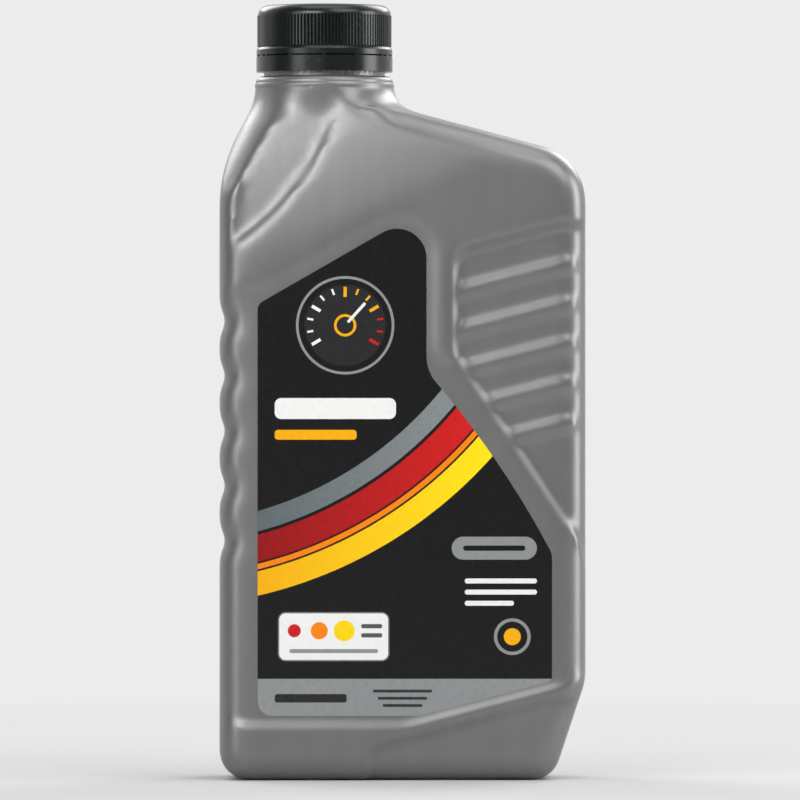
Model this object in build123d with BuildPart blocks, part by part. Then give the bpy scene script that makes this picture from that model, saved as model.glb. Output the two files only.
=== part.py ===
"""A one-quart motor oil bottle: a blow-moulded body with an offset threaded neck, filled with oil,
a ribbed screw cap with its sealing disc, the tamper band that stays on the neck, and the front label.

Units are millimetres. +Z is up, -Y is the front, and the origin is the centre of the base.
The neck stands left of the middle, and the ribbed hollow on the right is the hand grip.
Outlines of the body and its hollows are drawn in the front view, as X and Z.
"""

import os
from math import acos, atan, cos, degrees, pi, radians, sin, sqrt, tan

from build123d import *

# Body in the front view
body_width = 112.0
body_depth = 51.0
wall = 1.0
edge_radius = 8.0  # round of the long front and back edges
shoulder_height = 206.2  # the right shoulder meets the side of the neck here
shoulder_slope = 15.2
shoulder_corner = 17.5
left_lean = 27.4  # degrees that the left shoulder leans from upright
left_arc_radius = 49.0
heel_height = 30.5  # the lower right side leans in below this
heel_lean = 18.2
heel_corner = 16.0
foot_left_corner = 9.0
foot_right_corner = 8.6

# The front and back roll back to the neck above a slanting crease
crease_slope = 23.3
crease_height = 182.0  # where the crease crosses the middle of the bottle

# Finger scallops down the left side
scallop_count = 5
scallop_pitch = 16.8
scallop_first = 73.2
scallop_depth = 1.8
scallop_crest_radius = 8.0
scallop_hollow_radius = 4.0

# Hollows in the front and back, each with its depth and the width of its sloping wall
panel_depth = 1.0
panel_bevel = 1.8
panel_foot = 16.3
panel_top = 151.2  # at the left side
panel_slope = 29.9
panel_bend_inset = 14.0  # from the left side to where the panel's top starts to slant
panel_bend_round = 15.0
panel_land = 3.9  # land between the panel and the grip
panel_top_corner = 12.0
panel_side_corner = 3.0
panel_overlap = 4.0  # the panel reaches this far into the deeper grip
foot_bend = 1.95  # right of this the foot of the panel slants up
foot_bend_round = 15.0
foot_slope = 14.7
grip_depth = 2.6
grip_bevel = 2.8
grip_width = 41.4
grip_top = 162.6
grip_top_corner = 8.0
grip_bend = 129.0  # the grip's left wall is upright above this
grip_bend_round = 6.0
grip_foot = 73.3
grip_foot_inset = 4.8  # from the right side
grip_foot_round = 15.0
grip_tail_drop = 23.3  # the grip runs out over the side this far below its foot
grip_tail_reach = 0.8
heel_panel_depth = 1.9
heel_panel_bevel = 3.2
heel_panel_left = -10.5
heel_panel_top = 11.1
heel_panel_corner = 6.0
heel_panel_lean = 15.7  # degrees that its left edge leans outwards on the way down
open_reach = 12.0  # open hollows are drawn this far past the body's outline

# Curved facet on the left shoulder, each drop counted down from the root of the neck
facet_depth = 1.4
facet_bevel = 1.9
facet_drop = 45.2
facet_foot_inset = 3.7  # from the left side
facet_top_right = 5.0  # right of the neck's axis
facet_top_left = 19.9  # left of the neck's axis
facet_sweep_left = 6.1  # a point on the right edge, left of the neck's axis
facet_sweep_drop = 24.0
facet_edge_inset = 7.0  # a point on the left edge, from the left side
facet_edge_drop = 17.7

# Ribs across the grip
rib_count = 5
rib_pitch = 12.1
rib_drop = 7.1  # from the grip's upper left corner to the top rib, where it crosses rib_inset
rib_inset = 13.8
rib_slope = 14.4
rib_height = 0.9
rib_radius = 3.9
rib_flattening = 0.15  # how far the ribs are cut back to a narrow flat crest
rib_end = 6.3  # from the right side to the middle of each rib's ball end
rib_rooting = 1.0  # how far each rib reaches into the grip's left wall

# Base
pushup_depth = 2.0
pushup_lean = 45.0
pushup_corner = 8.0
standing_ring = 4.0

# Neck finish, each height counted from the one below it
neck_inset = 32.0  # from the left side to the neck's axis
neck_root_rise = 2.0  # the collar leaves the body's front, back and left side this far up
collar_radius = 21.4
collar_rise = 9.4
collar_rooting = 6.2
collar_line = 0.25  # depth of the fine step below the collar's rounded top
collar_round = 1.8
flare_radius = 7.0
flare_rise = 4.8
flare_slope = 14.0
flare_margin = 2.2  # the turned flare starts this far above the shoulder's own
corner_margin = 0.45  # how far the cone that draws the left corners in stands off the left side
collar_crossing = 0.3  # how far the flare reaches under the collar's skin
throat_radius = 18.6
throat_height = 2.6
bead_radius = 19.3
bead_height = 1.6
finish_radius = 17.8
bore_radius = 15.6
thread_lift = 5.8  # from the bead to the middle of the thread's start
mouth_land = 3.0  # from the middle of the thread's end to the mouth
collar_roof = 4.0  # thickness of the collar's upper end, where the bore narrows
roof_edge = 1.0

# Screw thread, shared by the neck and the cap
thread_pitch = 4.2
thread_turns = 1.5
neck_thread_height = 1.15
neck_thread_base = 2.6
neck_thread_crest = 1.0
cap_thread_base = 1.8
cap_thread_crest = 0.8
thread_rooting = 0.4
thread_gap = 0.3  # from a thread's crest to the wall that it faces
flank_gap = 0.26  # between the flanks, along the axis

# Cap
cap_wall = 1.05  # at the roots of the ribs
cap_top_wall = 1.6
cap_edge_radius = 3.5
cap_rib_stop = 3.2  # the ribs end this far below the top
cap_rib_count = 120
cap_rib_height = 0.35
cap_rib_land = 0.4  # share of a rib's pitch that its crest takes
cap_flange_height = 1.6
cap_flange_slope_height = 1.0
cap_flange_width = 0.6  # beyond the roots of the ribs
liner_thickness = 1.0
liner_gap = 0.3

# Tamper band
band_gap = 0.3  # round the bead, round the throat and under the bead
band_lip = 0.9
band_wall = 1.35
band_height = 4.7
bridge_height = 0.5  # the broken bridges between the band and the cap
bridge_count = 12
bridge_width = 1.0
bridge_depth = 0.8

# Label, placed from the edges of the panel
label_thickness = 0.15
label_left_inset = 11.8
label_right_inset = 10.4
label_foot_gap = 3.5
label_top_gap = 5.8
label_side_gap = 3.4
label_bend = 5.3
label_waist_drop = 4.0
label_bulge = 2.0
label_foot_corner = 4.5
label_heel_corner = 2.0
label_left_corner = 3.0
label_top_corner = 9.0
label_waist_round = 12.0
label_hip_corner = 6.0

# Fill
oil_gap = 0.3
oil_level = 194.5

# Drawing allowances
overrun = 1.0  # cutting shapes run this far past what they cut
spare = 0.1  # a rounding stops this far short of using up the face beside it
tolerance = 0.01


def slope_at(angle):
    """Rise over run of a line at an angle in degrees."""
    return tan(radians(angle))


# Values that follow from the sizes above
half_width = body_width / 2
half_depth = body_depth / 2
beyond = half_width + open_reach
foot_right = half_width - heel_height * slope_at(heel_lean)
neck_x = -half_width + neck_inset
neck_axis = Axis((neck_x, 0, 0), (0, 0, 1))
collar_left = neck_x - collar_radius
collar_right = neck_x + collar_radius
collar_top = shoulder_height + collar_rise
collar_foot = collar_top - collar_rooting
neck_root = shoulder_height + neck_root_rise
flare_top = shoulder_height + flare_rise
form_top = flare_top + edge_radius + overrun
bead_foot = collar_top + throat_height
bead_top = bead_foot + bead_height
thread_start = bead_top + thread_lift
mouth_height = thread_start + thread_pitch * thread_turns + mouth_land
cap_bore_radius = finish_radius + neck_thread_height + thread_gap
cap_root_radius = cap_bore_radius + cap_wall
cap_crest_radius = cap_root_radius + cap_rib_height
cap_ceiling = mouth_height + liner_thickness
cap_top = cap_ceiling + cap_top_wall
band_foot = bead_foot - band_gap - band_lip
band_top = band_foot + band_height
band_bore_radius = bead_radius + band_gap
band_radius = band_bore_radius + band_wall
cap_foot = band_top + bridge_height
cap_rib_foot = cap_foot + cap_flange_height + cap_flange_slope_height
cap_rib_top = cap_top - cap_rib_stop
grip_left = half_width - grip_width
grip_foot_x = half_width - grip_foot_inset
panel_side = grip_left - panel_land
panel_top_bend = -half_width + panel_bend_inset


def rounded_outline(corners, plane, grow=0.0):
    """A closed outline from corners, each given as X, Z and the radius of its round."""
    points = [(x, z) for x, z, radius in corners]
    radii = [radius for x, z, radius in corners]
    with BuildSketch(plane) as sketch:
        with BuildLine():
            FilletPolyline(*points, radius=radii, close=True)
        make_face()
        if grow:
            offset(amount=grow, kind=Kind.INTERSECTION)
    return sketch.sketch


def body_outline(inset):
    """The body in the front view, without its neck, drawn inset from the outer skin."""
    shoulder_at_side = shoulder_height - (half_width - collar_right) * slope_at(shoulder_slope)
    arc_x = -half_width + left_arc_radius * (1 - cos(radians(left_lean)))
    arc_top = neck_root - (collar_left - arc_x) / slope_at(left_lean)
    side_top = arc_top - left_arc_radius * sin(radians(left_lean))
    left_top = arc_x + (form_top - arc_top) * slope_at(left_lean)
    turn = acos(1 - scallop_depth / (scallop_crest_radius + scallop_hollow_radius))
    half_scallop = (scallop_crest_radius + scallop_hollow_radius) * sin(turn)
    bend_x = -half_width + scallop_crest_radius * (1 - cos(turn))
    half_hollow = scallop_hollow_radius * sin(turn)
    with BuildSketch(Plane.XZ.offset(-half_depth)) as sketch:
        with BuildLine():
            below = scallop_first - half_scallop
            for index in range(scallop_count):
                middle = scallop_first + index * scallop_pitch
                start = (-half_width, middle - half_scallop)
                if index:
                    Line((-half_width, below), start)
                crest = TangentArc(start, (bend_x, middle - half_hollow), tangent=(0, 1))
                hollow = TangentArc(crest @ 1, (bend_x, middle + half_hollow), tangent=crest % 1)
                below = middle + half_scallop
                TangentArc(hollow @ 1, (-half_width, below), tangent=hollow % 1)
            Line((-half_width, below), (-half_width, side_top))
            TangentArc((-half_width, side_top), (arc_x, arc_top), tangent=(0, 1))
            Polyline(
                (arc_x, arc_top),
                (left_top, form_top),
                (collar_right, form_top),
                (collar_right, shoulder_height),
                (half_width, shoulder_at_side),
                (half_width, heel_height),
                (foot_right, 0),
                (-half_width, 0),
                (-half_width, scallop_first - half_scallop),
            )
        make_face()
        for x, z, radius in (
            (collar_right, shoulder_height, flare_radius),
            (half_width, shoulder_at_side, shoulder_corner),
            (half_width, heel_height, heel_corner),
            (foot_right, 0, foot_right_corner),
            (-half_width, 0, foot_left_corner),
        ):
            fillet(sketch.vertices().sort_by_distance((x, z))[0], radius)
        if inset:
            offset(amount=-inset)
    return sketch.sketch


def section_across(inset, thinning):
    """The body seen along the crease: flat front and back that roll in towards the neck above it."""
    slant = radians(crease_slope)
    along = Vector(cos(slant), 0, sin(slant))
    plane = Plane(origin=(0, 0, crease_height), x_dir=(0, 1, 0), z_dir=along).offset(-2 * body_width)
    reach = (neck_root - crease_height) * cos(slant) - neck_x * sin(slant)
    narrowing = half_depth - collar_radius
    roll_radius = (reach**2 + narrowing**2) / (2 * narrowing) - inset - thinning
    rise = reach + 2 * edge_radius + flare_rise
    roll_in = roll_radius - sqrt(roll_radius**2 - rise**2)
    fall = 2 * body_width + crease_height
    half = half_depth - inset - thinning
    with BuildSketch(plane) as sketch:
        with BuildLine():
            TangentArc((-half, 0), (-half + roll_in, rise), tangent=(0, 1))
            Line((-half + roll_in, rise), (half - roll_in, rise))
            TangentArc((half, 0), (half - roll_in, rise), tangent=(0, 1))
            Polyline((half, 0), (half, -fall), (-half, -fall), (-half, 0))
        make_face()
    return sketch.sketch


def body_form(inset=0.0, thinning=0.0):
    """The whole body without hollows or neck, inset all round, and thinned at the front and back."""
    outline = body_outline(inset)
    section = section_across(inset, thinning)
    with BuildPart() as form:
        extrude(outline, amount=body_depth)
        extrude(section, amount=4 * body_width, mode=Mode.INTERSECT)
        sides = form.faces().filter_by(lambda face: abs(face.normal_at().Y) < tolerance)
        walls = sides.filter_by(lambda face: face.center().Z < form_top - inset - spare)
        rims = walls.edges().filter_by(lambda edge: abs(edge.center().Y) > collar_radius / 2)
        fillet(rims, edge_radius - inset)
    return form.part


def hollow_tool(corners, depth, bevel, inset):
    """What a hollow takes from the front and the back: sloping walls down to a floor that follows
    the body's own form at that depth."""
    face = Plane.XZ.offset(half_depth - inset)
    mouth = rounded_outline(corners, face, inset)
    floor = rounded_outline(corners, face, inset - bevel)
    thinned = body_form(inset, depth)
    with BuildPart() as tool:
        extrude(mouth, amount=-depth, taper=degrees(atan(bevel / depth)))
        extrude(floor, amount=-(edge_radius + depth + overrun))
        mirror(about=Plane.XZ)
        add(thinned, mode=Mode.SUBTRACT)
    return tool.part


def panel_corners():
    """The label panel, open to the left side, and to the right side below the grip."""
    crossing = panel_overlap / 2
    peak = panel_top + (panel_side - panel_top_bend) * slope_at(panel_slope)
    return [
        (-beyond, panel_foot, 0),
        (foot_bend, panel_foot, foot_bend_round),
        (beyond, panel_foot + (beyond - foot_bend) * slope_at(foot_slope), 0),
        (beyond, grip_foot, 0),
        (grip_foot_x + panel_overlap, grip_foot, 0),
        (grip_left + panel_overlap, grip_bend - crossing, 0),
        (panel_side, grip_bend + crossing, panel_side_corner),
        (panel_side, peak, panel_top_corner),
        (panel_top_bend, panel_top, panel_bend_round),
        (-beyond, panel_top, 0),
    ]


def grip_corners():
    """The hand grip, open to the right side, where its foot runs out below."""
    tail_height = grip_foot - grip_tail_drop
    return [
        (beyond, grip_top + (beyond - grip_left) * slope_at(rib_slope), 0),
        (grip_left, grip_top, grip_top_corner),
        (grip_left, grip_bend, grip_bend_round),
        (grip_foot_x, grip_foot, grip_foot_round),
        (half_width + grip_tail_reach, tail_height, 0),
        (beyond, tail_height, 0),
    ]


def heel_corners():
    """The low hollow at the right of the foot, open below and to the right."""
    spread = (heel_panel_top + open_reach) * slope_at(heel_panel_lean)
    return [
        (beyond, heel_panel_top + (beyond - heel_panel_left) * slope_at(foot_slope), 0),
        (heel_panel_left, heel_panel_top, heel_panel_corner),
        (heel_panel_left - spread, -open_reach, 0),
        (beyond, -open_reach, 0),
    ]


def facet_tool(inset):
    """What the curved facet on the left shoulder takes from the front and the back."""
    top_right = (neck_x + facet_top_right, neck_root)
    top_left = (neck_x - facet_top_left, neck_root)
    foot = (-half_width + facet_foot_inset, neck_root - facet_drop)
    sweep_middle = (neck_x - facet_sweep_left, neck_root - facet_sweep_drop)
    edge_middle = (-half_width + facet_edge_inset, neck_root - facet_edge_drop)
    thinned = body_form(inset, facet_depth)
    with BuildSketch(Plane.XZ.offset(half_depth)) as outline:
        with BuildLine():
            ThreePointArc(top_right, sweep_middle, foot)
            ThreePointArc(foot, edge_middle, top_left)
            Line(top_left, top_right)
        make_face()
        if inset:
            offset(amount=inset, kind=Kind.INTERSECTION)
    with BuildPart() as tool:
        extrude(outline.sketch, amount=-(half_depth - collar_radius / 3))
        add(thinned, mode=Mode.SUBTRACT)
        if not inset:
            floor_edges = tool.faces().sort_by(Axis.Y)[-1].edges()
            chamfer(floor_edges, length=facet_depth - spare, length2=facet_bevel)
        mirror(about=Plane.XZ)
    return tool.part


def grip_ribs():
    """The ribs across the grip's floor, front and back, held within the body's form. They start
    inside the grip's left wall and end in a ball short of the right side."""
    limit = body_form(0.0, grip_depth - rib_height)
    axis_depth = half_depth - grip_depth + rib_height + rib_flattening - rib_radius
    slant = radians(rib_slope)
    along = Vector(cos(slant), 0, sin(slant))
    wall_lean = (grip_foot_x - grip_left) / (grip_bend - grip_foot)
    with BuildPart() as ribs:
        for index in range(rib_count):
            height = grip_top - rib_drop - index * rib_pitch
            wall_x = grip_left + max(0.0, grip_bend - height) * wall_lean
            middle = Vector(half_width - rib_inset, -axis_depth, height)
            start = middle - along * ((half_width - rib_inset - wall_x) / cos(slant) + rib_rooting)
            end = middle + along * ((rib_inset - rib_end) / cos(slant))
            with BuildSketch(Plane(origin=start, x_dir=(0, -1, 0), z_dir=along)) as section:
                Circle(rib_radius)
            extrude(section.sketch, amount=(end - start).length)
            with Locations(end):
                Sphere(rib_radius)
        mirror(about=Plane.XZ)
        add(limit, mode=Mode.INTERSECT)
    return ribs.part


def neck_trim(inset):
    """The space that the body's top is held to. On the right a turned flare leads from the shoulder
    up to the collar, and on the left a cone that leans with the side draws the corners in to it."""
    radius = collar_radius - collar_crossing - inset
    arc = flare_radius + inset
    lean = radians(90 - flare_slope)
    arc_x = radius + arc * (1 - cos(lean))
    arc_top = flare_top + flare_margin
    arc_z = arc_top - arc * sin(lean)
    rim = 2 * body_width
    rim_height = arc_z - (rim - arc_x) * slope_at(flare_slope)
    cone_foot = radius + (neck_root + half_width) * slope_at(left_lean)
    cone_top = neck_root + (collar_crossing + corner_margin) / slope_at(left_lean)
    right_side = Plane(origin=(neck_x, 0, 0), x_dir=(0, -1, 0), z_dir=(-1, 0, 0))
    left_side = Plane(origin=(neck_x, 0, 0), x_dir=(0, 1, 0), z_dir=(1, 0, 0))
    with BuildPart() as trim:
        with BuildSketch(right_side) as right_half:
            with BuildLine():
                flare = TangentArc((radius, arc_top), (arc_x, arc_z), tangent=(0, -1))
                Polyline(
                    flare @ 1,
                    (rim, rim_height),
                    (rim, -half_width),
                    (0, -half_width),
                    (0, arc_top),
                    flare @ 0,
                )
            make_face()
        revolve(right_half.sketch, axis=neck_axis, revolution_arc=180)
        with BuildSketch(left_side) as left_half:
            with BuildLine():
                Polyline(
                    (0, arc_top),
                    (radius, arc_top),
                    (radius, cone_top),
                    (cone_foot, cone_top - neck_root - half_width),
                    (0, cone_top - neck_root - half_width),
                    close=True,
                )
            make_face()
        revolve(left_half.sketch, axis=neck_axis, revolution_arc=180)
    return trim.part


def pushup(inset):
    """The shallow hollow under the foot, inside the ring that the bottle stands on."""
    turn = radians(90 - heel_lean)
    left = -half_width + foot_left_corner + standing_ring
    right = foot_right - foot_right_corner * tan(turn / 2) - standing_ring
    width = right - left + 2 * inset
    depth = body_depth - 2 * (edge_radius + heel_panel_depth + standing_ring) + 2 * inset
    with BuildPart() as hollow:
        with BuildSketch():
            with Locations(((left + right) / 2, 0)):
                RectangleRounded(width, depth, min(pushup_corner, depth / 2 - spare))
        extrude(amount=pushup_depth + inset, taper=pushup_lean)
    return hollow.part


def hollowed_form(inset):
    """The body's form at an inset from its outer skin, with its hollows and with its neck trimmed."""
    whole = body_form(inset)
    trim = neck_trim(inset)
    foot_hollow = pushup(inset)
    tools = [
        hollow_tool(panel_corners(), panel_depth, panel_bevel, inset),
        hollow_tool(grip_corners(), grip_depth, grip_bevel, inset),
        hollow_tool(heel_corners(), heel_panel_depth, heel_panel_bevel, inset),
        facet_tool(inset),
    ]
    with BuildPart() as form:
        add(whole)
        add(trim, mode=Mode.INTERSECT)
        add(foot_hollow, mode=Mode.SUBTRACT)
        for tool in tools:
            add(tool, mode=Mode.SUBTRACT)
    return form.part


def turned(profile):
    """A solid turned about the neck's axis from a profile of radii and heights."""
    with BuildPart() as solid:
        with BuildSketch(Plane.XZ):
            with BuildLine():
                Polyline(*[(neck_x + radius, height) for radius, height in profile], close=True)
            make_face()
        revolve(axis=neck_axis)
    return solid.part


def neck_finish():
    """The collar, the throat, the bead that holds the tamper band, and the wall that the thread is on."""
    stem = turned(
        [
            (0, collar_foot),
            (collar_radius, collar_foot),
            (collar_radius, collar_top - collar_round - 2 * collar_line),
            (collar_radius - collar_line, collar_top - collar_round - collar_line),
            (collar_radius - collar_line, collar_top),
            (throat_radius, collar_top),
            (throat_radius, bead_foot),
            (bead_radius, bead_foot),
            (bead_radius, bead_foot + bead_height / 2),
            (finish_radius, bead_top),
            (finish_radius, mouth_height),
            (0, mouth_height),
        ]
    )
    with BuildPart() as finish:
        add(stem)
        rims = finish.edges().filter_by_position(Axis.Z, collar_top - tolerance, collar_top + tolerance)
        fillet(rims.sort_by(SortBy.RADIUS)[-1], collar_round)
    return finish.part


def neck_space(inset):
    """The inside of the collar and the bore of the neck."""
    above = mouth_height + overrun
    return turned(
        [
            (0, collar_foot),
            (collar_radius - inset, collar_foot),
            (collar_radius - inset, collar_top - collar_roof),
            (bore_radius, collar_top - roof_edge),
            (bore_radius, above),
            (0, above),
        ]
    )


def screw_thread(root_radius, crest_radius, base, crest, start):
    """A right-hand thread of trapezoid section, rooted a little way into the wall that carries it."""
    rooting = thread_rooting if root_radius < crest_radius else -thread_rooting
    rooted_base = base + (base - crest) * rooting / (crest_radius - root_radius)
    with BuildPart() as thread:
        with BuildLine():
            Helix(thread_pitch, thread_pitch * thread_turns, root_radius, center=(neck_x, 0, start))
        with BuildSketch(Plane.XZ):
            with BuildLine():
                Polyline(
                    (neck_x + root_radius - rooting, start - rooted_base / 2),
                    (neck_x + crest_radius, start - crest / 2),
                    (neck_x + crest_radius, start + crest / 2),
                    (neck_x + root_radius - rooting, start + rooted_base / 2),
                    close=True,
                )
            make_face()
        sweep(is_frenet=True)
    return thread.part


def thread_drop():
    """How far the cap's thread lies below the neck's, so that their flanks are just clear."""
    flank_slope = (neck_thread_base - neck_thread_crest) / 2 / neck_thread_height
    neck_half = neck_thread_base / 2 - flank_slope * thread_gap
    return neck_half + cap_thread_crest / 2 + flank_gap


def make_bottle():
    """The blow-moulded body with its neck, open at the mouth."""
    thread_radius = finish_radius + neck_thread_height
    outside = hollowed_form(0.0)
    inside = hollowed_form(wall)
    ribs = grip_ribs()
    finish = neck_finish()
    thread = screw_thread(finish_radius, thread_radius, neck_thread_base, neck_thread_crest, thread_start)
    throat = neck_space(wall)
    with BuildPart() as bottle:
        add(outside)
        add(ribs)
        add(finish)
        add(thread)
        add(inside, mode=Mode.SUBTRACT)
        add(throat, mode=Mode.SUBTRACT)
    return bottle


def cap_rib_points():
    """The cap's ribbed outline, seen from above: a narrow crest and a root to each rib."""
    turn = 2 * pi / cap_rib_count
    half_land = turn * cap_rib_land / 2
    points = []
    for index in range(cap_rib_count):
        middle = index * turn
        for radius, angle in (
            (cap_crest_radius, middle - half_land),
            (cap_crest_radius, middle + half_land),
            (cap_root_radius, middle + turn / 2),
        ):
            points.append((neck_x + radius * cos(angle), radius * sin(angle)))
    return points


def make_cap():
    """The screw cap: a ribbed skirt on a plain flange, a rounded top, and a thread inside."""
    flange_radius = cap_root_radius + cap_flange_width
    flange = turned(
        [
            (0, cap_foot),
            (flange_radius, cap_foot),
            (flange_radius, cap_foot + cap_flange_height),
            (cap_root_radius, cap_rib_foot),
            (0, cap_rib_foot),
        ]
    )
    start = thread_start - thread_drop()
    thread = screw_thread(
        cap_bore_radius, finish_radius + thread_gap, cap_thread_base, cap_thread_crest, start
    )
    with BuildPart() as crown:
        with BuildSketch(Plane.XY.offset(cap_rib_top)):
            with Locations((neck_x, 0)):
                Circle(cap_root_radius + cap_rib_height / 2)
        extrude(amount=cap_rib_stop)
        fillet(crown.edges().group_by(Axis.Z)[-1], min(cap_edge_radius, cap_rib_stop - spare))
    with BuildPart() as cap:
        with BuildSketch(Plane.XY.offset(cap_rib_foot)):
            with BuildLine():
                Polyline(*cap_rib_points(), close=True)
            make_face()
        extrude(amount=cap_rib_top - cap_rib_foot)
        add(crown.part)
        add(flange)
        with BuildSketch(Plane.XY.offset(cap_foot)):
            with Locations((neck_x, 0)):
                Circle(cap_bore_radius)
        extrude(amount=cap_ceiling - cap_foot, mode=Mode.SUBTRACT)
        add(thread)
    return cap


def make_liner():
    """The sealing disc between the mouth and the inside of the cap's top."""
    with BuildPart() as liner:
        with BuildSketch(Plane.XY.offset(mouth_height)):
            with Locations((neck_x, 0)):
                Circle(cap_bore_radius - liner_gap)
        extrude(amount=liner_thickness)
    return liner


def make_band():
    """The tamper band round the bead, with a lip under it and the broken bridges on top."""
    lip_radius = throat_radius + band_gap
    ring = turned(
        [
            (lip_radius, band_foot),
            (band_radius, band_foot),
            (band_radius, band_top),
            (band_bore_radius, band_top),
            (band_bore_radius, band_foot + band_lip),
            (lip_radius, band_foot + band_lip),
        ]
    )
    with BuildPart() as band:
        add(ring)
        with BuildSketch(Plane.XY.offset(band_top)):
            with Locations((neck_x, 0)):
                with PolarLocations(band_bore_radius + band_wall / 2, bridge_count):
                    Rectangle(bridge_depth, bridge_width)
        extrude(amount=bridge_height)
    return band


def make_label():
    """The front label, a thin film in the panel."""
    left = -half_width + label_left_inset
    right = half_width - label_right_inset
    waist = panel_side - label_side_gap
    foot = panel_foot + label_foot_gap
    lean_foot = foot + (right - label_bend) * slope_at(foot_slope)
    shoulder = panel_top - label_top_gap
    neck_top = shoulder + (waist - left) * slope_at(panel_slope)
    waist_height = grip_bend - label_waist_drop
    hip_height = grip_foot - label_waist_drop
    with BuildPart() as label:
        with BuildSketch(Plane.XZ.offset(half_depth - panel_depth)) as outline:
            with BuildLine():
                SagittaArc((waist, waist_height), (right, hip_height), label_bulge)
                Polyline(
                    (right, hip_height),
                    (right, lean_foot),
                    (label_bend, foot),
                    (left, foot),
                    (left, shoulder),
                    (waist, neck_top),
                    (waist, waist_height),
                )
            make_face()
            for x, z, radius in (
                (left, foot, label_foot_corner),
                (right, lean_foot, label_heel_corner),
                (left, shoulder, label_left_corner),
                (waist, neck_top, label_top_corner),
                (waist, waist_height, label_waist_round),
                (right, hip_height, label_hip_corner),
            ):
                fillet(outline.vertices().sort_by_distance((x, z))[0], radius)
        extrude(amount=label_thickness)
    return label


def make_oil():
    """The fill, up to its level, just clear of the walls."""
    inside = hollowed_form(wall + oil_gap)
    with BuildPart() as oil:
        add(inside)
        split(bisect_by=Plane.XY.offset(oil_level), keep=Keep.BOTTOM)
    return oil


os.makedirs("parts", exist_ok=True)

bottle = make_bottle()
bottle.part.label = "bottle"
export_step(bottle.part, "parts/bottle.step")

cap = make_cap()
cap.part.label = "cap"
export_step(cap.part, "parts/cap.step")

cap_liner = make_liner()
cap_liner.part.label = "cap_liner"
export_step(cap_liner.part, "parts/cap_liner.step")

tamper_band = make_band()
tamper_band.part.label = "tamper_band"
export_step(tamper_band.part, "parts/tamper_band.step")

front_label = make_label()
front_label.part.label = "front_label"
export_step(front_label.part, "parts/front_label.step")

motor_oil = make_oil()
motor_oil.part.label = "motor_oil"
export_step(motor_oil.part, "parts/motor_oil.step")

fill_ml = motor_oil.part.volume / 1000
print(f"fill {fill_ml:.0f} mL, bottle {bottle.part.volume / 1000:.1f} mL of plastic")
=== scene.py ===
# %% [markdown]
# # A one-quart bottle of motor oil
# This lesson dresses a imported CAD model: a grey blow-moulded bottle with its neck to one side, a
# ribbed screw cap, the tamper band left on the neck, a printed film label and the oil inside. The
# CAD model gives the forms and sizes. What is left for Blender is the softness of a blown bottle's
# edges and what the eye reads as material: satin pigmented plastic, near-black moulded plastic,
# glossy print, and the light that shows them.

# %% Load the frame
import math

import bmesh
import bpy
import numpy as np
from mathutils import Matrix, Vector


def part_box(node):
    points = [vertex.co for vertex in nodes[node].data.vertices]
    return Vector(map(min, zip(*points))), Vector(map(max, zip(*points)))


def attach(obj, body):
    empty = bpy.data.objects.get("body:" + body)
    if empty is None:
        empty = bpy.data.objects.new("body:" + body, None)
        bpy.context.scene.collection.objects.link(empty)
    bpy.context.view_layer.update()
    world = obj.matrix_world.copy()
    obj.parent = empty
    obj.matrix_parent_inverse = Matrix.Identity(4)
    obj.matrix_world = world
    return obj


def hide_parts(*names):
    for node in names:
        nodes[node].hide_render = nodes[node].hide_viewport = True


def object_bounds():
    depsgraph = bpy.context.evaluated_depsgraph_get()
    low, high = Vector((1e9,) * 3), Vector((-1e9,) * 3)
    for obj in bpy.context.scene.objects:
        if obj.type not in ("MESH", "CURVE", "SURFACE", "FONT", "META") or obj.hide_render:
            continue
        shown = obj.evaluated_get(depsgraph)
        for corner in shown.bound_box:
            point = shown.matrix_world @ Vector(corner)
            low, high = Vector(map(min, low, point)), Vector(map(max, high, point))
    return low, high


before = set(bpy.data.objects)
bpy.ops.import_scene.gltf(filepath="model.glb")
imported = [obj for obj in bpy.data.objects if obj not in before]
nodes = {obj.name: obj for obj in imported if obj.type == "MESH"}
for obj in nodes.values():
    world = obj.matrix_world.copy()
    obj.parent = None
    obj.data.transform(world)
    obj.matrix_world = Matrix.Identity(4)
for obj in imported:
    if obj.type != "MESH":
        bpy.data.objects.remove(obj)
cad_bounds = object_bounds()
print("CAD box in metres:", [[round(value, 4) for value in corner] for corner in cad_bounds])

# %% [markdown]
# ## Smooth and sharp edges
# The CAD mesh comes as triangles, with its points doubled along the border of every CAD face and a
# normal of its own on each side. So its rounds shade as one smooth surface, and the corners of the
# ribs and threads are crisp already: smooth shading keeps both, and no edge is left to be marked.
# The bottle's skin, made further down, is welded, and there the angle decides what stays sharp.

# %% Shade the CAD pieces
SHARP_ANGLE = math.radians(32)


def shade_by_angle(obj, angle):
    """Smooth shading, with every edge that turns more than the angle kept sharp."""
    mesh = obj.data
    mesh.shade_smooth()
    mesh.set_sharp_from_angle(angle=angle)
    return sum(1 for edge in mesh.edges if edge.use_edge_sharp)


for name in nodes:
    print(name, "edges marked sharp:", shade_by_angle(nodes[name], SHARP_ANGLE))

# %% [markdown]
# ## A small kit for node trees
# Every finish here is a node tree, and so is the world. Building one by hand takes many lines, so a
# small class adds nodes and links in a readable way.

# %% Node helpers
MM = 0.001


def srgb(red, green, blue):
    """A linear colour from the 0 to 255 values that a screen shows."""
    linear = []
    for value in (red, green, blue):
        value /= 255
        linear.append(value / 12.92 if value <= 0.04045 else ((value + 0.055) / 1.055) ** 2.4)
    return (*linear, 1.0)


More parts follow.
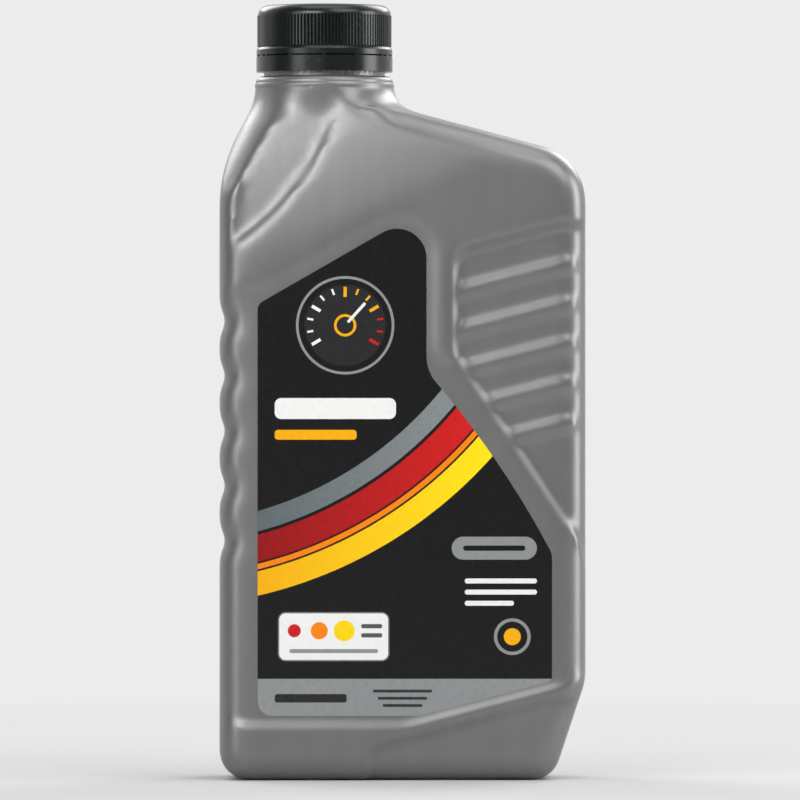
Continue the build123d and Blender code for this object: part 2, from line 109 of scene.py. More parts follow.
class Kit:
    """Short ways to build a node tree."""

    def __init__(self, tree):
        self.tree = tree

    def add(self, kind, **settings):
        """Adds a node, with settings such as its operation."""
        node = self.tree.nodes.new(kind)
        for key, value in settings.items():
            setattr(node, key, value)
        return node

    def feed(self, socket, value):
        """Links an output to a socket, or sets the socket to a plain value."""
        if isinstance(value, bpy.types.NodeSocket):
            self.tree.links.new(value, socket)
        else:
            socket.default_value = value

    def math(self, operation, a, b=0.0):
        node = self.add("ShaderNodeMath", operation=operation)
        self.feed(node.inputs[0], a)
        self.feed(node.inputs[1], b)
        return node.outputs[0]

    def remap(self, value, low, high, to_low=0.0, to_high=1.0):
        """Turns values between low and high into values between two others, and goes no further."""
        node = self.add("ShaderNodeMapRange")
        for socket, item in zip(node.inputs, (value, low, high, to_low, to_high)):
            self.feed(socket, item)
        return node.outputs[0]

    def mix(self, factor, a, b):
        """A colour between a and b. Either may be a colour or another node's output."""
        node = self.add("ShaderNodeMix", data_type="RGBA")
        for index, value in ((0, factor), (6, a), (7, b)):
            self.feed(node.inputs[index], value)
        return node.outputs[2]


print("screen grey 128 in linear light:", round(srgb(128, 128, 128)[0], 3))

# %% [markdown]
# ## Finishes
# A finish is a material with one Principled shader. Numbers that are the same all over a surface
# are set on the shader itself, and only what varies over the surface is linked. All textures are
# soft noise in the object's own place, so they stay on it in every view.

# %% Material helpers
NOISE_SPAN = (0.3, 0.7)  # nearly all of a noise's values lie between these


class Finish(Kit):
    """A material with a Principled shader and short ways to feed it."""

    def __init__(self, name, **shader_values):
        self.material = bpy.data.materials.new(name)
        self.material.use_nodes = True
        super().__init__(self.material.node_tree)
        self.shader = self.tree.nodes["Principled BSDF"]
        for socket, value in shader_values.items():
            self.shader.inputs[socket.replace("_", " ")].default_value = value
        self.place = self.add("ShaderNodeTexCoord").outputs["Object"]

    def colour(self, value):
        self.feed(self.shader.inputs["Base Color"], value)

    def roughness(self, value):
        self.feed(self.shader.inputs["Roughness"], value)

    def noise(self, scale, detail=2.0, roughness=0.5, stretch=(1, 1, 1)):
        """Soft random values from 0 to 1. The scale counts features in a metre."""
        mapping = self.add("ShaderNodeMapping")
        mapping.inputs["Scale"].default_value = stretch
        self.feed(mapping.inputs["Vector"], self.place)
        node = self.add("ShaderNodeTexNoise")
        self.feed(node.inputs["Vector"], mapping.outputs[0])
        node.inputs["Scale"].default_value = scale
        node.inputs["Detail"].default_value = detail
        node.inputs["Roughness"].default_value = roughness
        return node.outputs["Fac"]

    def spread(self, noise, low=0.0, high=1.0):
        """Stretches noise over the whole way between two values."""
        return self.remap(noise, *NOISE_SPAN, low, high)

    def bump(self, height, distance):
        """Relief of the given height in metres, in series with any bump added before."""
        node = self.add("ShaderNodeBump")
        node.inputs["Distance"].default_value = distance
        node.inputs["Strength"].default_value = 1.0
        self.feed(node.inputs["Height"], height)
        socket = self.shader.inputs["Normal"]
        if socket.is_linked:
            self.feed(node.inputs["Normal"], socket.links[0].from_socket)
        self.tree.links.new(node.outputs[0], socket)

    def wear(self, name):
        """Puts this finish on a CAD node."""
        obj = nodes[name]
        obj.data.materials.clear()
        obj.data.materials.append(self.material)
        print(self.material.name, "on", name, "with", len(self.tree.nodes), "nodes")


# %% [markdown]
# ## The bottle's grey plastic
# The real bottle is polyethylene with a silver-grey pigment. Up close it has a faint orange peel
# from the mould's blasted surface, and streaks along its height where the hot tube was stretched. A
# metallic share in the shader stands for the pigment's flakes, so the flats stay calm and every
# slope picks up the light. A large roughness for plastic keeps the highlights broad.

# %% Grey bottle plastic
BOTTLE_GREYS = (srgb(126, 125, 125), srgb(131, 130, 130))
BOTTLE_ROUGHNESS = (0.33, 0.39)
CLOUD_SCALE = 28
STREAK_SCALE = 160
STREAK_STRETCH = (1, 1, 0.06)
CLOUD_AND_STREAK_SPAN = (0.35, 0.65)  # the mean of two noises strays less than one
SCUFF_SCALE = 700
SCUFF_ROUGHNESS = 0.6
PEEL_SCALE = 1500
PEEL_HEIGHT = 0.010 * MM
STREAK_HEIGHT = 0.012 * MM

bottle_finish = Finish("silver_grey_polyethylene", Metallic=0.6, IOR=1.5)
cloud = bottle_finish.noise(CLOUD_SCALE, detail=3.0)
streak = bottle_finish.noise(STREAK_SCALE, stretch=STREAK_STRETCH)
cloud_and_streak = bottle_finish.math("MULTIPLY", bottle_finish.math("ADD", cloud, streak), 0.5)
tone = bottle_finish.remap(cloud_and_streak, *CLOUD_AND_STREAK_SPAN)
bottle_finish.colour(bottle_finish.mix(tone, *BOTTLE_GREYS))
scuff = bottle_finish.noise(SCUFF_SCALE, detail=3.0, roughness=SCUFF_ROUGHNESS)
bottle_finish.roughness(bottle_finish.spread(scuff, *BOTTLE_ROUGHNESS))
bottle_finish.bump(bottle_finish.noise(PEEL_SCALE), PEEL_HEIGHT)
bottle_finish.bump(streak, STREAK_HEIGHT)
bottle_finish.wear("bottle")

# %% [markdown]
# ## The bottle's soft skin
# A blown bottle has no crisp corner anywhere below its neck: the plastic bridges every edge of the
# mould by a millimetre or two, and the shoulder turns over in a short bend and then runs up to the
# neck. The CAD body has the right forms with crisp edges. Its outside is copied here, made into an
# even mesh, relaxed until the edges are soft, and joined again to the crisp neck and to the inside
# wall. Blender's Remesh gives points evenly spread, which plain averaging needs.

# %% Tools for cutting the bottle's mesh
WELD = 0.001 * MM


def bottle_copy():
    """The CAD bottle as a mesh to edit, with its points welded."""
    mesh = bmesh.new()
    mesh.from_mesh(nodes["bottle"].data)
    bmesh.ops.remove_doubles(mesh, verts=mesh.verts, dist=WELD)
    return mesh


def cut_level(mesh, height, drop_above=False):
    """Cuts a mesh along a level, and may drop what is above it."""
    bmesh.ops.bisect_plane(
        mesh,
        geom=mesh.verts[:] + mesh.edges[:] + mesh.faces[:],
        dist=WELD,
        plane_co=(0, 0, height),
        plane_no=(0, 0, 1),
        clear_outer=drop_above,
    )


def outside_faces(mesh, height):
    """Faces below a level that hang together with the lowest point."""
    below = {face for face in mesh.faces if face.calc_center_median().z < height}
    lowest = min(mesh.verts, key=lambda vert: vert.co.z)
    found = {face for face in lowest.link_faces if face in below}
    to_search = list(found)
    while to_search:
        face = to_search.pop()
        for edge in face.edges:
            for other in edge.link_faces:
                if other in below and other not in found:
                    found.add(other)
                    to_search.append(other)
    return found


def object_from(mesh, name):
    """A new object from a mesh that is then done with."""
    data = bpy.data.meshes.new(name)
    mesh.to_mesh(data)
    mesh.free()
    obj = bpy.data.objects.new(name, data)
    bpy.context.scene.collection.objects.link(obj)
    return obj


# %% [markdown]
# ### An even copy of the outside
# The copy keeps only the outside, and its open top is closed, because Remesh has to tell inside
# from outside. It reaches a little above the seam, so that the closing face stays out of the skin.

# %% Outside of the body as an even mesh
SKIN_VOXEL = 1.0 * MM
COPY_TOP = 215.0 * MM

body_copy = bottle_copy()
cut_level(body_copy, COPY_TOP, drop_above=True)
outside = outside_faces(body_copy, COPY_TOP)
inside = [face for face in body_copy.faces if face not in outside]
bmesh.ops.delete(body_copy, geom=inside, context="FACES")
rim = [edge for edge in body_copy.edges if edge.is_boundary]
bmesh.ops.holes_fill(body_copy, edges=rim, sides=0)
body_block = object_from(body_copy, "body_block")
remesh = body_block.modifiers.new("even", "REMESH")
remesh.mode = "VOXEL"
remesh.voxel_size = SKIN_VOXEL
remeshed = body_block.evaluated_get(bpy.context.evaluated_depsgraph_get())
even_mesh = bpy.data.meshes.new_from_object(remeshed)
bpy.data.objects.remove(body_block)
print("even mesh:", len(even_mesh.vertices), "points from a rim of", len(rim), "edges")

# %% [markdown]
# ### Relaxing the edges and turning the shoulder over
# Every point moves towards the middle of its neighbours, a few times over, which rounds edges and
# leaves broad forms where they are. The grip and the heel get fewer rounds, because their edges are
# crisper on the real bottle. The shoulder is drawn in above a slanting line, the crease: a short
# bend, and a slope that steepens towards the neck and ends where the CAD form ends.

# %% Tools for relaxing and bending
RELAX_STEP = 0.5
CREASE_SLOPE = math.radians(23.3)
CREASE_HEIGHT = 182.0 * MM
NECK_REACH = 33.6 * MM  # from the crease to the neck, across the crease
NARROWING = 4.1 * MM  # how much of the half depth goes over that reach
BEND_START = -7.0 * MM
BEND_LENGTH = 9.0 * MM
BEND_SLOPE = 0.072


def rows_of(collection, attribute, columns, kind=float):
    """One attribute of all points or edges of a mesh, as rows of numbers."""
    values = np.empty(len(collection) * columns, dtype=kind)
    collection.foreach_get(attribute, values)
    return values.reshape(-1, columns)


def relaxed(points, edges, rounds, share=1.0):
    """Points after rounds of a step towards the middle of their neighbours."""
    count = np.bincount(edges.ravel(), minlength=len(points))[:, None]
    for _ in range(rounds):
        total = np.zeros_like(points)
        for axis in range(3):
            total[:, axis] = np.bincount(edges[:, 0], points[edges[:, 1], axis], len(points))
            total[:, axis] += np.bincount(edges[:, 1], points[edges[:, 0], axis], len(points))
        points = points + RELAX_STEP * share * (total / count - points)
    return points


def ramp(values, zone):
    """From 0 where a zone starts to 1 where it is full, smooth at both."""
    start, full = zone
    share = np.clip((values - start) / (full - start), 0, 1)
    return share * share * (3 - 2 * share)


def across_crease(points):
    """How far points lie above the crease, square to it in the front view."""
    above = points[:, 2] - CREASE_HEIGHT
    return above * math.cos(CREASE_SLOPE) - points[:, 0] * math.sin(CREASE_SLOPE)


def drawn_in(across):
    """How far the shoulder lies behind the flat face, first as bent here and then in CAD."""
    past = np.clip(across, 0, NECK_REACH)
    radius = (NECK_REACH**2 + NARROWING**2) / (2 * NARROWING)
    in_cad = radius - np.sqrt(radius**2 - past**2)
    full_bend = BEND_SLOPE * BEND_LENGTH / 2
    full_run = NECK_REACH - BEND_START - BEND_LENGTH
    bend = np.clip(across - BEND_START, 0, BEND_LENGTH)
    run = np.clip(across - BEND_START - BEND_LENGTH, 0, full_run)
    bent = BEND_SLOPE * (bend**2 / (2 * BEND_LENGTH) + run)
    steepening = (NARROWING - full_bend - BEND_SLOPE * full_run) / full_run**2
    return bent + steepening * run**2, in_cad


# %% [markdown]
# ### Both steps on the body
# The mesh is relaxed first and bent second, so that averaging doesn't flatten the bend again. Only
# the front and the back are drawn in. The sides stay where they are.

# %% Relax the edges and bend the shoulder
RELAX_ROUNDS = 9
CRISP_ROUNDS = 4  # for the grip and the heel, which keep more of their edges
GRIP_LEFT = (4.0 * MM, 12.0 * MM)
GRIP_TOP = (180.0 * MM, 172.0 * MM)
HEEL_TOP = (38.0 * MM, 30.0 * MM)
FACE_SIDE = 13.0 * MM  # half depth at which a point belongs to the body's side
FACE_FRONT = 20.0 * MM  # and at which it belongs to the front or back

points = rows_of(even_mesh.vertices, "co", 3)
outward = rows_of(even_mesh.vertices, "normal", 3)
edges = rows_of(even_mesh.edges, "vertices", 2, int)
before = points.copy()
crisp = ramp(points[:, 0], GRIP_LEFT) * ramp(points[:, 2], GRIP_TOP)
crisp = np.maximum(crisp, ramp(points[:, 2], HEEL_TOP))
points = relaxed(points, edges, CRISP_ROUNDS)
points = relaxed(points, edges, RELAX_ROUNDS - CRISP_ROUNDS, 1 - crisp[:, None])

bent, in_cad = drawn_in(across_crease(points))
facing = np.clip((np.abs(points[:, 1]) - FACE_SIDE) / (FACE_FRONT - FACE_SIDE), 0, 1)
points[:, 1] -= np.sign(points[:, 1]) * (bent - in_cad) * facing
print("shoulder bent by up to", round(float(np.abs(bent - in_cad).max()) / MM, 2), "mm")

# %% [markdown]
# ### The neck's root
# Many more rounds at the foot of the collar let it flow into the shoulder, and into the facet on
# the left, as blown plastic does. Averaging pulls a hollow bend outwards and a full one inwards, so
# at the end every point that has sunk too far is lifted back, and none reaches the inside wall.

# %% Let the collar flow into the shoulder
NECK_ROUNDS = 40
DEEPEST = 0.8 * MM  # how far a point may sink: the wall is 1 mm thick
LIFT_ROUNDS = 1
ROOT_FOOT = (194.0 * MM, 203.0 * MM)
ROOT_TOP = (211.5 * MM, 209.0 * MM)
ROOT_LEFT = (-24.0 * MM, -18.0 * MM)
ROOT_RIGHT = (25.0 * MM, 10.0 * MM)
FACET_FOOT = (200.0 * MM, 206.0 * MM)  # below this the facet keeps its edges
FACET_TOP = (211.5 * MM, 210.0 * MM)
FACET_RIGHT = (-18.0 * MM, -24.0 * MM)

side, height = points[:, 0], points[:, 2]
root = ramp(height, ROOT_FOOT) * ramp(height, ROOT_TOP)
root *= ramp(side, ROOT_LEFT) * ramp(side, ROOT_RIGHT)
above_facet = ramp(height, FACET_FOOT) * ramp(height, FACET_TOP) * ramp(side, FACET_RIGHT)
points = relaxed(points, edges, NECK_ROUNDS, (root + above_facet)[:, None])

sunk = -((points - before) * outward).sum(1)
points += outward * np.clip(sunk - DEEPEST, 0, None)[:, None]
points = relaxed(points, edges, LIFT_ROUNDS)
moved = np.linalg.norm(points - before, axis=1) / MM
mean_move, most_move = round(float(moved.mean()), 2), round(float(moved.max()), 2)
print("points moved by", mean_move, "mm on average, at most", most_move)
even_mesh.vertices.foreach_set("co", points.ravel())

# %% [markdown]
# ### Joining the skin
# The seam lies on the plain collar, out of the way of every form. The CAD bottle loses its outside
# below the seam, the skin loses its top, and a narrow band of new faces bridges the gap all round,
# so the bottle is one closed wall again: soft outside, crisp neck, CAD inside.

# %% Join the skin to the neck and the inside
SEAM = 212.4 * MM
SEAM_GAP = 0.3 * MM

joined = bottle_copy()
cut_level(joined, SEAM)
bmesh.ops.delete(joined, geom=list(outside_faces(joined, SEAM)), context="FACES")
skin_copy = bmesh.new()
skin_copy.from_mesh(even_mesh)
cut_level(skin_copy, SEAM - SEAM_GAP, drop_above=True)
soft_mesh = bpy.data.meshes.new("soft")
skin_copy.to_mesh(soft_mesh)
skin_copy.free()
joined.from_mesh(soft_mesh)
open_edges = [edge for edge in joined.edges if edge.is_boundary]
bmesh.ops.bridge_loops(joined, edges=open_edges)
bmesh.ops.recalc_face_normals(joined, faces=joined.faces)
left_open = sum(1 for edge in joined.edges if not edge.is_manifold)
bottle_skin = object_from(joined, "bottle_skin")
marked_sharp = shade_by_angle(bottle_skin, SHARP_ANGLE)
bottle_skin.data.materials.append(bottle_finish.material)
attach(bottle_skin, "bottle")
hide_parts("bottle")
triangles = sum(len(polygon.vertices) - 2 for polygon in bottle_skin.data.polygons)
print("skin:", triangles, "triangles,", left_open, "edges left open,", marked_sharp, "marked sharp")

# %% [markdown]
# ## The cap and the band
# Both are moulded in near-black polypropylene with a cold, slightly green cast. They come from one
# mould and differ only in shape, so one finish serves both: a fine grain, with a little unevenness
# in the gloss.

# %% Near-black cap plastic
CAP_BLACKS = (srgb(11, 18, 17), srgb(16, 24, 23))
CAP_ROUGHNESS = (0.22, 0.28)
CAP_CLOUD_SCALE = 60
CAP_SCUFF_SCALE = 900
GRAIN_SCALE = 2600
GRAIN_HEIGHT = 0.006 * MM

cap_finish = Finish("near_black_polypropylene", IOR=1.5)
cap_tone = cap_finish.spread(cap_finish.noise(CAP_CLOUD_SCALE, detail=3.0))
cap_finish.colour(cap_finish.mix(cap_tone, *CAP_BLACKS))
cap_scuff = cap_finish.noise(CAP_SCUFF_SCALE, detail=3.0)
cap_finish.roughness(cap_finish.spread(cap_scuff, *CAP_ROUGHNESS))
cap_finish.bump(cap_finish.noise(GRAIN_SCALE, detail=1.0), GRAIN_HEIGHT)
cap_finish.wear("cap")
cap_finish.wear("tamper_band")

# %% [markdown]
# ## The sealing disc and the oil
# Neither shows while the cap is on, but the disc comes into view when it is unscrewed, and the oil
# can be seen down the open neck. The disc is white foam with a fine pitted face. The oil is a clear
# amber liquid; inside a dark bottle it reads as a deep, glossy brown-gold.

# %% Disc and oil
# The darker white is painted shade for the foam's pits, and the lighter one is the foam itself.
PIT_SHADE_AND_FOAM_WHITE = (srgb(212, 211, 205), srgb(228, 226, 222))
PIT_SCALE = 3200
PIT_DEPTH = 0.03 * MM
OIL_AMBERS = (srgb(162, 112, 36), srgb(188, 138, 48))
OIL_DRIFT_SCALE = 22
OIL_SWELL_SCALE = 40
OIL_SWELL_HEIGHT = 0.02 * MM

disc_finish = Finish("white_foam_disc", Roughness=0.6)
pits = disc_finish.noise(PIT_SCALE)
# The pits are painted a little darker than the foam's face, from the same noise as the relief:
# painted shade.
disc_finish.colour(disc_finish.mix(pits, *PIT_SHADE_AND_FOAM_WHITE))
disc_finish.bump(pits, PIT_DEPTH)
disc_finish.wear("cap_liner")

oil_finish = Finish("amber_oil", Roughness=0.04, IOR=1.47)
oil_finish.colour(oil_finish.mix(oil_finish.noise(OIL_DRIFT_SCALE), *OIL_AMBERS))
oil_finish.bump(oil_finish.noise(OIL_SWELL_SCALE, detail=1.0), OIL_SWELL_HEIGHT)
oil_finish.wear("motor_oil")

# %% [markdown]
# ## Printing the label
# The label is one printed film, so one material carries the whole print. Each shape is a distance
# worked out from the place on the film: below nothing inside the shape, above nothing outside.
# Laying shapes one over another, as a printer lays inks, keeps every edge sharp at any size and
# needs no picture.

# %% Print helpers
INK_EDGE = 0.04 * MM
DEEP = 1.0  # a half size in metres for the direction through the film, where shapes have no end


class Print(Finish):
    """A finish built up from flat shapes, placed in millimetres as seen from the front."""

    def __init__(self, name, ground, **shader_values):
        super().__init__(name, **shader_values)
        self.ink = ground

    def seen_from(self, x, z, turn=0.0):
        """Places measured from a centre, turned by degrees."""
        node = self.add("ShaderNodeMapping", vector_type="TEXTURE")
        node.inputs["Location"].default_value = (x * MM, 0, z * MM)
        node.inputs["Rotation"].default_value = (0, math.radians(-turn), 0)
        self.feed(node.inputs["Vector"], self.place)
        return node.outputs[0]

    def vector(self, operation, a, b=(0, 0, 0)):
        node = self.add("ShaderNodeVectorMath", operation=operation)
        self.feed(node.inputs[0], a)
        self.feed(node.inputs[1], b)
        return node.outputs["Value"] if operation == "LENGTH" else node.outputs["Vector"]

    def box(self, x, z, width, height, corner=0.0, turn=0.0):
        """Distance from a box with rounded corners."""
        half = ((width / 2 - corner) * MM, DEEP, (height / 2 - corner) * MM)
        past = self.vector("SUBTRACT", self.vector("ABSOLUTE", self.seen_from(x, z, turn)), half)
        outside = self.vector("LENGTH", self.vector("MAXIMUM", past))
        return self.math("SUBTRACT", outside, max(corner * MM, INK_EDGE))

    def disc(self, x, z, radius):
        """Distance from a disc."""
        flat = self.vector("MULTIPLY", self.seen_from(x, z), (1, 0, 1))
        return self.math("SUBTRACT", self.vector("LENGTH", flat), radius * MM)

    def ring(self, x, z, inner, outer):
        """Distance from a ring between two radii."""
        middle = self.disc(x, z, (inner + outer) / 2)
        return self.math("SUBTRACT", self.math("ABSOLUTE", middle), (outer - inner) / 2 * MM)

    def lay(self, shape, ink):
        """Covers a shape with an ink."""
        cover = self.remap(shape, -INK_EDGE, INK_EDGE, 1.0, 0.0)
        self.ink = self.mix(cover, self.ink, ink)

    def lay_boxes(self, rows):
        """Covers boxes, each given as X, Z, width, height, corner radius and ink."""
        for *form, ink in rows:
            self.lay(self.box(*form), ink)


label_low, label_high = [[value / MM for value in corner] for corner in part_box("front_label")]
print("label from", [round(v, 1) for v in label_low], "to", [round(v, 1) for v in label_high])

# %% [markdown]
# ## The print itself
# A black ground with a sweep of nested bands, a plain dial above it, rounded bars where words would
# go, a white panel and a grey strip at the foot. The inks keep to black, grey, red, orange, yellow
# and white. The bands are rings about one centre far to the upper left, and two inks in each shade
# from left to right.

# %% Inks and bands
BLACK_INK = srgb(22, 20, 21)
SOFT_BLACK_INK = srgb(40, 40, 42)
CHARCOAL_INK = srgb(50, 50, 52)
DARK_GREY_INK = srgb(84, 88, 90)
PANEL_EDGE_INK = srgb(120, 122, 123)
GREY_INK = srgb(142, 145, 146)
WHITE_INK = srgb(240, 240, 238)
RED_INK = srgb(206, 26, 28)
ORANGE_INK = srgb(250, 134, 8)
AMBER_INK = srgb(247, 176, 10)
YELLOW_INK = srgb(252, 216, 14)

SWEEP_CENTRE = (-75, 190)
BANDS = (
    (112.0, 118.0, srgb(95, 105, 108), srgb(150, 153, 155)),
    (119.0, 127.0, srgb(146, 16, 20), srgb(228, 32, 30)),
    (127.6, 129.2, ORANGE_INK, ORANGE_INK),
    (129.8, 137.0, AMBER_INK, srgb(255, 238, 20)),
)

label_print = Print("printed_film", BLACK_INK, IOR=1.5, Specular_IOR_Level=0.3)
spot = label_print.add("ShaderNodeSeparateXYZ")
label_print.feed(spot.inputs[0], label_print.place)
along = label_print.remap(spot.outputs["X"], label_low[0] * MM, label_high[0] * MM)
for inner, outer, left_ink, right_ink in BANDS:
    band_ink = label_print.mix(along, left_ink, right_ink)
    label_print.lay(label_print.ring(*SWEEP_CENTRE, inner, outer), band_ink)
print("bands:", len(BANDS))

# %% [markdown]
# ### The dial
# A plain gauge, with ticks that run from white through amber to red and a white needle. Each tick
# is a small box turned to point away from the centre, so one function lays them all and the needle
# too.

# %% Dial
DIAL = (-17.5, 139.0)
DIAL_RIM = (14.2, 15.0)
DIAL_FACE = 12.4
DIAL_HUB = (2.6, 3.4)
TICKS = 13
TICK_SPREAD = 240
LONG_EVERY = 3
LONG_TICK = (10.2, 0.9, 3.0)  # distance from the centre, width and length
SHORT_TICK = (10.8, 0.55, 1.8)
WHITE_UP_TO = 0.5
AMBER_UP_TO = 0.8
NEEDLE_ANGLE = 42
NEEDLE = (5.2, 0.9, 8.0)
NEEDLE_CORNER = 0.4


def lay_pointer(angle, form, ink, corner=0.0):
    """A bar that points away from the dial's centre, at an angle from upright."""
    distance, width, length = form
    x = DIAL[0] + distance * math.sin(math.radians(angle))
    z = DIAL[1] + distance * math.cos(math.radians(angle))
    label_print.lay(label_print.box(x, z, width, length, corner, turn=-angle), ink)


label_print.lay(label_print.ring(*DIAL, *DIAL_RIM), GREY_INK)
label_print.lay(label_print.disc(*DIAL, DIAL_FACE), SOFT_BLACK_INK)
label_print.lay(label_print.ring(*DIAL, *DIAL_HUB), AMBER_INK)
for index in range(TICKS):
    share = index / (TICKS - 1)
    ink = WHITE_INK if share < WHITE_UP_TO else AMBER_INK if share < AMBER_UP_TO else RED_INK
    lay_pointer(TICK_SPREAD * (share - 0.5), SHORT_TICK if index % LONG_EVERY else LONG_TICK, ink)
lay_pointer(NEEDLE_ANGLE, NEEDLE, WHITE_INK, NEEDLE_CORNER)
print("dial ticks:", TICKS)

# %% [markdown]
# ### Bars, panel and foot strip
# Rounded bars stand where the real label has words, and a white panel, a ring and a grey strip
# where it has its marks. All are plain shapes of about the same size and colour, in a layout of
# their own.

# %% Bars, panel and foot strip
BARS = (
    (-20.5, 113.6, 37.0, 6.4, 2.0, WHITE_INK),
    (-26.5, 105.6, 25.0, 3.0, 1.0, AMBER_INK),
    (28.0, 71.0, 26.0, 7.0, 3.5, GREY_INK),
    (28.0, 71.0, 19.0, 1.6, 0.8, BLACK_INK),
    (30.0, 61.0, 22.0, 1.5, 0.7, WHITE_INK),
    (30.0, 57.6, 22.0, 1.5, 0.7, WHITE_INK),
    (26.5, 54.2, 15.0, 1.5, 0.7, WHITE_INK),
)
PANEL = (
    (-21.0, 44.0, 34.0, 15.0, 2.4, PANEL_EDGE_INK),
    (-21.0, 44.0, 33.2, 14.2, 2.0, WHITE_INK),
    (-9.4, 47.2, 6.4, 1.3, 0.5, DARK_GREY_INK),
    (-9.4, 44.4, 6.4, 1.3, 0.5, DARK_GREY_INK),
    (-21.0, 39.6, 27.0, 1.2, 0.5, GREY_INK),
)
DOTS = (
    (-33.0, 45.8, 2.0, RED_INK),
    (-25.4, 45.8, 2.6, ORANGE_INK),
    (-17.8, 45.8, 3.2, YELLOW_INK),
    (33.5, 44.0, 2.6, AMBER_INK),
)
DOT_RING = (33.5, 44.0, 4.6, 5.6)
STRIP_TOP = 31.1
STRIP_WIDTH = 120.0  # wider than the label, so that the strip runs off both sides
STRIP_BARS = (
    (-28.0, 25.2, 22.0, 2.6, 0.8, SOFT_BLACK_INK),
    (0.0, 27.4, 18.0, 0.9, 0.3, CHARCOAL_INK),
    (0.0, 25.2, 15.0, 0.9, 0.3, CHARCOAL_INK),
    (0.0, 23.0, 12.0, 0.9, 0.3, CHARCOAL_INK),
)

label_print.lay_boxes(BARS + PANEL)
for x, z, radius, ink in DOTS:
    label_print.lay(label_print.disc(x, z, radius), ink)
label_print.lay(label_print.ring(*DOT_RING), GREY_INK)
strip_middle = (label_low[2] + STRIP_TOP) / 2
strip = (0.0, strip_middle, STRIP_WIDTH, STRIP_TOP - label_low[2], 0.0, GREY_INK)
label_print.lay_boxes((strip, *STRIP_BARS))
print("bars and boxes:", len(BARS + PANEL + STRIP_BARS) + 1)

# %% [markdown]
# ### The film
# A pressed-on film is glossier than the bottle, and never quite flat: faint waves show in its
# highlights.

# %% Film
FILM_ROUGHNESS = (0.26, 0.30)
FILM_SCUFF_SCALE = 500
FILM_WAVE_SCALE = 300
FILM_WAVE_HEIGHT = 0.004 * MM

label_print.colour(label_print.ink)
film_scuff = label_print.noise(FILM_SCUFF_SCALE, detail=3.0)
label_print.roughness(label_print.spread(film_scuff, *FILM_ROUGHNESS))
label_print.bump(label_print.noise(FILM_WAVE_SCALE), FILM_WAVE_HEIGHT)
label_print.wear("front_label")

# %% [markdown]
# ## Floor and background
# A pale sheet of paper runs to the horizon. Close to the bottle it is lit and holds its shadow.
# Away from the bottle it shows as evenly lit, whatever the lamps do, and so does the world above
# it, so no horizon shows. The camera sees this background all round. Reflections see it behind the
# bottle, while in front the room is dim: flat faces look straight back at the camera and stay calm.

# %% Floor
FLOOR_RADIUS = 40.0
FLOOR_SIDES = 64
PAPER_GREYS = (srgb(200, 200, 200), srgb(205, 205, 205))
PAPER_SCALE = 3.0
BACKGROUND = srgb(236, 236, 236)
EVEN_START = 0.2  # how far from the bottle the lit floor starts to give way to the background
EVEN_FULL = 0.8  # and where it has given way


def make_floor():
    """A round sheet that reaches the horizon."""
    mesh = bpy.data.meshes.new("floor")
    corners = []
    for index in range(FLOOR_SIDES):
        turn = 2 * math.pi * index / FLOOR_SIDES
        corners.append((FLOOR_RADIUS * math.cos(turn), FLOOR_RADIUS * math.sin(turn), 0.0))
    mesh.from_pydata(corners, [], [tuple(range(FLOOR_SIDES))])
    sheet = bpy.data.objects.new("floor", mesh)
    bpy.context.scene.collection.objects.link(sheet)
    return sheet


def even_share(kit, away, behind):
    """The share of the even background: one for the camera, another for reflections."""
    rays = kit.add("ShaderNodeLightPath").outputs
    mirrored = kit.math("MAXIMUM", rays["Is Glossy Ray"], rays["Is Transmission Ray"])
    to_camera = kit.math("MULTIPLY", rays["Is Camera Ray"], away)
    return kit.math("MAXIMUM", to_camera, kit.math("MULTIPLY", mirrored, behind))


floor = make_floor()
paper = Finish("pale_paper", Roughness=0.8)
paper.colour(paper.mix(paper.noise(PAPER_SCALE), *PAPER_GREYS))
distance = paper.add("ShaderNodeVectorMath", operation="LENGTH")
paper.feed(distance.inputs[0], paper.place)
spot = paper.add("ShaderNodeSeparateXYZ")
paper.feed(spot.inputs[0], paper.place)
away = paper.remap(distance.outputs["Value"], EVEN_START, EVEN_FULL)
behind = paper.remap(spot.outputs["Y"], EVEN_START, EVEN_FULL)
glow = paper.add("ShaderNodeEmission")
glow.inputs["Color"].default_value = BACKGROUND
blend = paper.add("ShaderNodeMixShader")
paper.feed(blend.inputs[0], even_share(paper, away, behind))
paper.feed(blend.inputs[1], paper.shader.outputs[0])
paper.feed(blend.inputs[2], glow.outputs[0])
paper.feed(paper.tree.nodes["Material Output"].inputs["Surface"], blend.outputs[0])
floor.data.materials.append(paper.material)
print("floor radius:", FLOOR_RADIUS, "m")

# %% [markdown]
# ### The world above the floor
# The world carries the same even grey on above the horizon, for the camera and for reflections from
# behind the bottle. So much light all round would wash the form out, so for every other ray it is a
# dim room.

# %% World
ROOM = (0.12, 0.12, 0.12, 1.0)
BEHIND_START = -0.1  # the share of a direction that points away from the camera
BEHIND_FULL = 0.3

world = bpy.data.worlds.new("studio")
bpy.context.scene.world = world
world.use_nodes = True
studio = Kit(world.node_tree)
direction = studio.add("ShaderNodeSeparateXYZ")
studio.feed(direction.inputs[0], studio.add("ShaderNodeTexCoord").outputs["Generated"])
behind = studio.remap(direction.outputs["Y"], BEHIND_START, BEHIND_FULL)
world_colour = studio.mix(even_share(studio, 1.0, behind), ROOM, BACKGROUND)
studio.feed(world.node_tree.nodes["Background"].inputs["Color"], world_colour)
print("room light:", ROOM[0])

# %% [markdown]
# ## Lights
# Every slope turns towards one of the lamps, so the form reads from its edges: a long soft box low
# in the upper left for the facet, one overhead, one in the upper right for the shoulder, two tall
# ones at the sides for the outline, and two behind that serve the back.

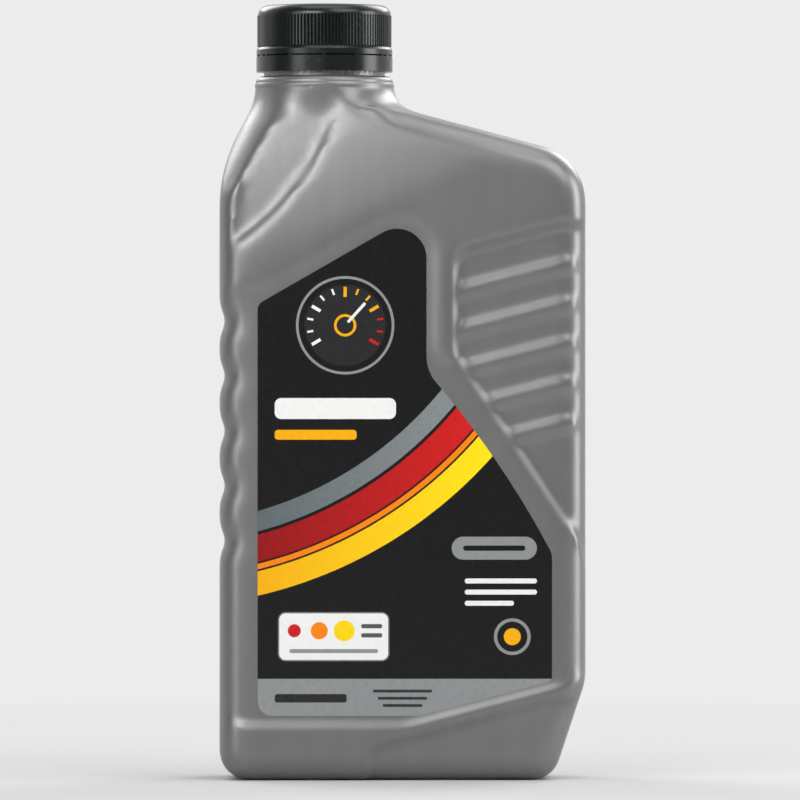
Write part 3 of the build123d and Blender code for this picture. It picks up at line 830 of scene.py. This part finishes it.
# %% Lamps
LAMPS = (  # name, azimuth, elevation, distance, size, power
    ("upper_left_box", -22, 23, 1.2, (0.6, 0.3), 4.6),
    ("overhead_box", 0, 80, 1.2, (1.0, 0.8), 5.0),
    ("upper_right_box", 38, 40, 1.1, (0.8, 0.6), 4.3),
    ("left_box", -45, 6, 1.1, (0.4, 1.0), 3.0),
    ("right_box", 85, 6, 1.1, (0.5, 1.0), 8.0),
    ("back_left_box", -145, 35, 1.0, (0.5, 0.5), 4.0),
    ("back_right_box", 145, 35, 1.0, (0.5, 0.5), 4.0),
)
low, high = [Vector(corner) for corner in cad_bounds]
middle = (low + high) / 2


def soft_box(name, azimuth, elevation, distance, size, power):
    """An area lamp that points at the bottle. Azimuth counts from the front to the right."""
    turn, rise = math.radians(azimuth), math.radians(elevation)
    level = math.cos(rise)
    towards = Vector((math.sin(turn) * level, -math.cos(turn) * level, math.sin(rise)))
    lamp = bpy.data.lights.new(name, "AREA")
    lamp.shape = "RECTANGLE"
    lamp.size, lamp.size_y = size
    lamp.energy = power
    obj = bpy.data.objects.new(name, lamp)
    bpy.context.scene.collection.objects.link(obj)
    obj.location = middle + towards * distance
    obj.rotation_euler = (-towards).to_track_quat("-Z", "Y").to_euler()
    obj.visible_camera = False
    print(name, "radiance", round(power / (math.pi * size[0] * size[1]), 1))


for lamp_values in LAMPS:
    soft_box(*lamp_values)

# %% [markdown]
# ## Camera
# The photograph is taken square on to the front, from far away with a long lens. Its scale, the
# bottle's middle and the floor line were read from it in pixels, and they give the lens and the
# camera's place.

# %% Camera
IMAGE_SIZE = 800
MM_PER_PIXEL = 0.305
BOTTLE_MIDDLE_PIXEL = 402.5
FLOOR_PIXEL = 781
CAMERA_DISTANCE = 3.0
SENSOR = 36.0

camera_data = bpy.data.cameras.new("camera")
camera = bpy.data.objects.new("camera", camera_data)
bpy.context.scene.collection.objects.link(camera)
bpy.context.scene.camera = camera
field_width = IMAGE_SIZE * MM_PER_PIXEL * MM
camera_data.sensor_width = SENSOR
camera_data.lens = SENSOR * CAMERA_DISTANCE / field_width
camera_height = (FLOOR_PIXEL - IMAGE_SIZE / 2) * MM_PER_PIXEL * MM
camera_side = (IMAGE_SIZE / 2 - BOTTLE_MIDDLE_PIXEL) * MM_PER_PIXEL * MM
camera.location = (camera_side, low.y - CAMERA_DISTANCE, camera_height)
camera.rotation_euler = (math.pi / 2, 0, 0)
print("lens", round(camera_data.lens, 1), "mm")

# %% [markdown]
# ## Colour
# The Standard view shows colours as they are written.

# %% Finish
bpy.context.scene.view_settings.view_transform = "Standard"
